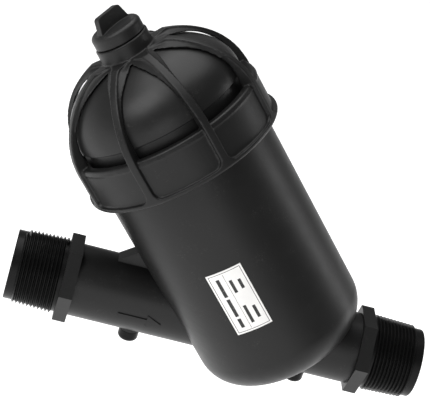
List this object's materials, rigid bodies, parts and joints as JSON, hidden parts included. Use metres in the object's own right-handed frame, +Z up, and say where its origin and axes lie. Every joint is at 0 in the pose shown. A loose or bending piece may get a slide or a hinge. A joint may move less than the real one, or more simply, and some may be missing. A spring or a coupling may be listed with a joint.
{
  "type": "drip irrigation screen filter",
  "caption": "Black plastic Y-pattern screen filter with threaded pipe ends, a ribbed ring nut over a domed cover, and a flush plug.",
  "frame": {"origin": "centre of the inlet end of the pipe run", "axes": "+X along the pipe run in the flow direction, +Z up; the canister leans back over the inlet"},
  "size_m": [0.26, 0.1248, 0.2124],
  "materials": {
    "housing_plastic": "satin black moulded plastic",
    "nut_plastic": "satin black moulded plastic",
    "cover_plastic": "satin black moulded plastic",
    "plug_plastic": "satin black moulded plastic",
    "port_plug_plastic": "gloss black",
    "cage_plastic": "matte dark grey moulded plastic",
    "seal_rubber": "matte black",
    "mesh_steel": "fine woven wire",
    "label_paper": "white coated paper"
  },
  "bodies": {
    "housing": {"filter_housing": "housing_plastic", "screen_cage": "cage_plastic", "screen_mesh": "mesh_steel", "screen_top_cap": "cage_plastic", "screen_bottom_collar": "cage_plastic", "screen_bottom_seal": "seal_rubber", "specification_label": "label_paper"},
    "cover": {"cover_dome": "cover_plastic", "cover_seal": "seal_rubber"},
    "nut": {"ring_nut": "nut_plastic"},
    "flush_seal": {"flush_plug_seal": "seal_rubber"},
    "flush_plug_body": {"flush_plug": "plug_plastic"},
    "inlet_seal": {"inlet_port_seal": "seal_rubber"},
    "inlet_plug": {"inlet_port_plug": "port_plug_plastic"},
    "outlet_seal": {"outlet_port_seal": "seal_rubber"},
    "outlet_plug": {"outlet_port_plug": "port_plug_plastic"}
  },
  "joints": [
    {"name": "cover_lift", "type": "slide", "parent": "housing", "child": "cover", "axis": [-0.6756, 0, 0.7373], "range_m": [0, 0.015]},
    {"name": "nut_turn", "type": "hinge", "parent": "cover", "child": "nut", "pos_m": [0.07296, 0, 0.11059], "axis": [-0.6756, 0, 0.7373], "range_deg": [0, 1080]},
    {"name": "flush_plug_lift", "type": "slide", "parent": "cover", "child": "flush_seal", "axis": [-0.6756, 0, 0.7373], "range_m": [0, 0.012]},
    {"name": "flush_plug_turn", "type": "hinge", "parent": "flush_seal", "child": "flush_plug_body", "pos_m": [0.02702, 0, 0.16073], "axis": [-0.6756, 0, 0.7373], "range_deg": [0, 1440]},
    {"name": "inlet_plug_drop", "type": "slide", "parent": "housing", "child": "inlet_seal", "axis": [0, 0, -1], "range_m": [0, 0.00668]},
    {"name": "inlet_plug_turn", "type": "hinge", "parent": "inlet_seal", "child": "inlet_plug", "pos_m": [0.0812, 0, -0.026], "axis": [0, 0, -1], "range_deg": [0, 1800]},
    {"name": "outlet_plug_drop", "type": "slide", "parent": "housing", "child": "outlet_seal", "axis": [0, 0, -1], "range_m": [0, 0.00668]},
    {"name": "outlet_plug_turn", "type": "hinge", "parent": "outlet_seal", "child": "outlet_plug", "pos_m": [0.189, 0, -0.026], "axis": [0, 0, -1], "range_deg": [0, 1800]}
  ],
  "couplings": [
    {"joint": "cover_lift", "follows": "nut_turn", "m_per_rad": 0.00079577},
    {"joint": "flush_plug_lift", "follows": "flush_plug_turn", "m_per_rad": 0.00047746},
    {"joint": "inlet_plug_drop", "follows": "inlet_plug_turn", "m_per_rad": 0.00021277},
    {"joint": "outlet_plug_drop", "follows": "outlet_plug_turn", "m_per_rad": 0.00021277}
  ]
}
